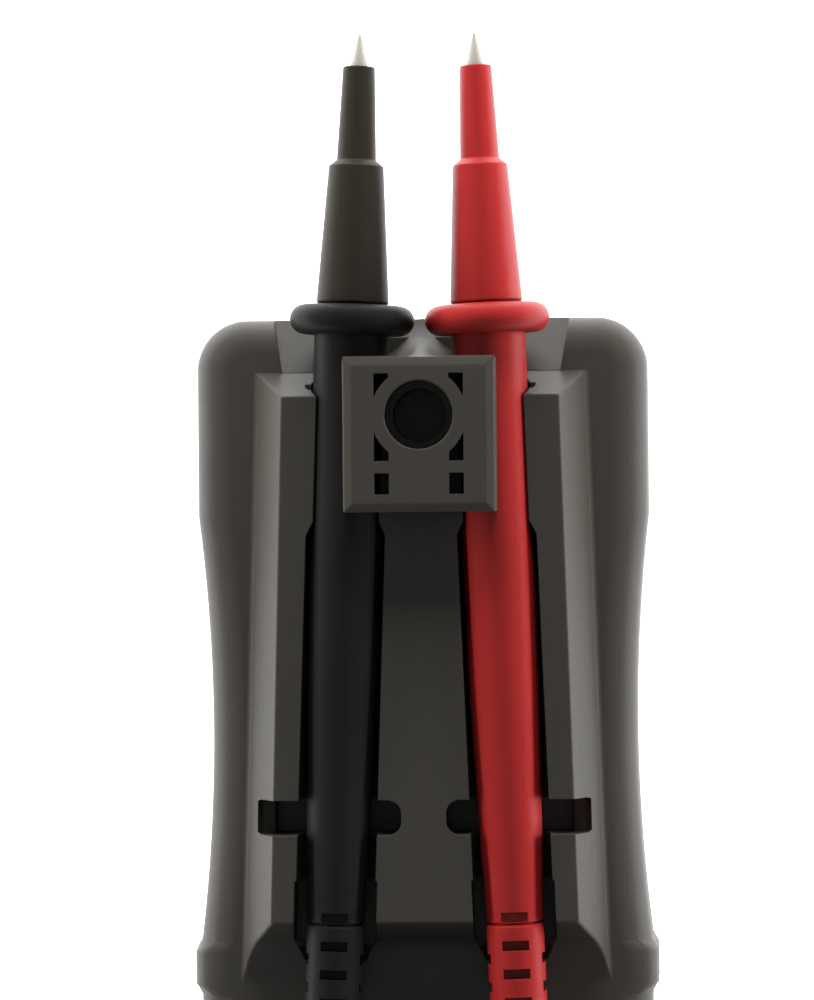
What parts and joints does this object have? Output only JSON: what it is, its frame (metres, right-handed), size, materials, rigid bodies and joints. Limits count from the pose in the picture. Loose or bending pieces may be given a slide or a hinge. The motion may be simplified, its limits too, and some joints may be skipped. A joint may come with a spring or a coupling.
{
  "type": "voltage tester",
  "caption": "Handheld two-probe voltage tester, lying face down, with both probes docked in its back under a square dock block and a battery door below.",
  "frame": {"origin": "on the floor under the middle of the whole length, from the housing's foot to the probe tips, on the middle line", "axes": "+Y along the housing towards the docked probe tips; +Z out of the tester's back, away from its front; +X towards the red probe"},
  "size_m": [0.053, 0.2072, 0.0375],
  "materials": {
    "housing": "fine moulded grain, satin",
    "seal_rubber": "matt",
    "steel": "zinc plated",
    "window": "clear, smoked",
    "display": "grey green display glass in its frame",
    "lamp": "diffused",
    "keypad_rubber": "silicone",
    "board": "green solder mask",
    "chip": "moulded",
    "ceramic": "lacquered",
    "disc": "lacquered",
    "cell_jacket": "bare printed sleeve left plain",
    "black_grip": "satin soft moulding",
    "red_grip": "satin soft moulding",
    "button": "matt",
    "plated_pin": "nickel plated, satin"
  },
  "bodies": {
    "tester_body": {"front_housing": "housing", "rear_housing": "housing", "dock_block": "housing", "housing_seal": "seal_rubber", "housing_screws": "steel", "display_window": "window", "display_module": "display", "led_lamps": "lamp", "keypad_mat": "keypad_rubber", "main_board": "board", "board_screws": "steel", "board_chips": "chip", "input_resistors": "ceramic", "input_discs": "disc", "buzzer": "chip", "battery_cell_left": "cell_jacket", "battery_cell_right": "cell_jacket", "contact_plates": "steel", "lead_gland_black": "black_grip", "lead_gland_red": "red_grip"},
    "battery_cover": {"battery_door": "housing"},
    "cover_screw": {"door_screw": "steel"},
    "hold_key": {"hold_button": "button"},
    "light_key": {"light_button": "button"},
    "black_probe": {"black_probe_pin": "plated_pin", "black_probe_nose": "black_grip", "black_probe_handle": "black_grip", "black_probe_tail": "black_grip"},
    "red_probe": {"red_probe_pin": "plated_pin", "red_probe_nose": "red_grip", "red_probe_handle": "red_grip", "red_probe_tail": "red_grip"}
  },
  "joints": [
    {"name": "red_probe_slide", "type": "slide", "parent": "tester_body", "child": "red_probe", "axis": [-0.0366, 0.9993, 0], "range_m": [0, 0.095]},
    {"name": "black_probe_slide", "type": "slide", "parent": "tester_body", "child": "black_probe", "axis": [-0.0366, -0.9993, 0], "range_m": [-0.095, 0]},
    {"name": "battery_cover_lift", "type": "slide", "parent": "tester_body", "child": "battery_cover", "axis": [0, 0, 1], "range_m": [0, 0.03]},
    {"name": "cover_screw_turn", "type": "hinge", "parent": "battery_cover", "child": "cover_screw", "pos_m": [0, -0.03012, 0.025], "axis": [0, 0, 1], "continuous": true},
    {"name": "hold_key_press", "type": "slide", "parent": "tester_body", "child": "hold_key", "axis": [0, 0, 1], "range_m": [0, 0.0008], "stiffness_N_per_m": 1500, "springref_m": -0.0003},
    {"name": "light_key_press", "type": "slide", "parent": "tester_body", "child": "light_key", "axis": [0, 0, 1], "range_m": [0, 0.0008], "stiffness_N_per_m": 1500, "springref_m": -0.0003}
  ]
}
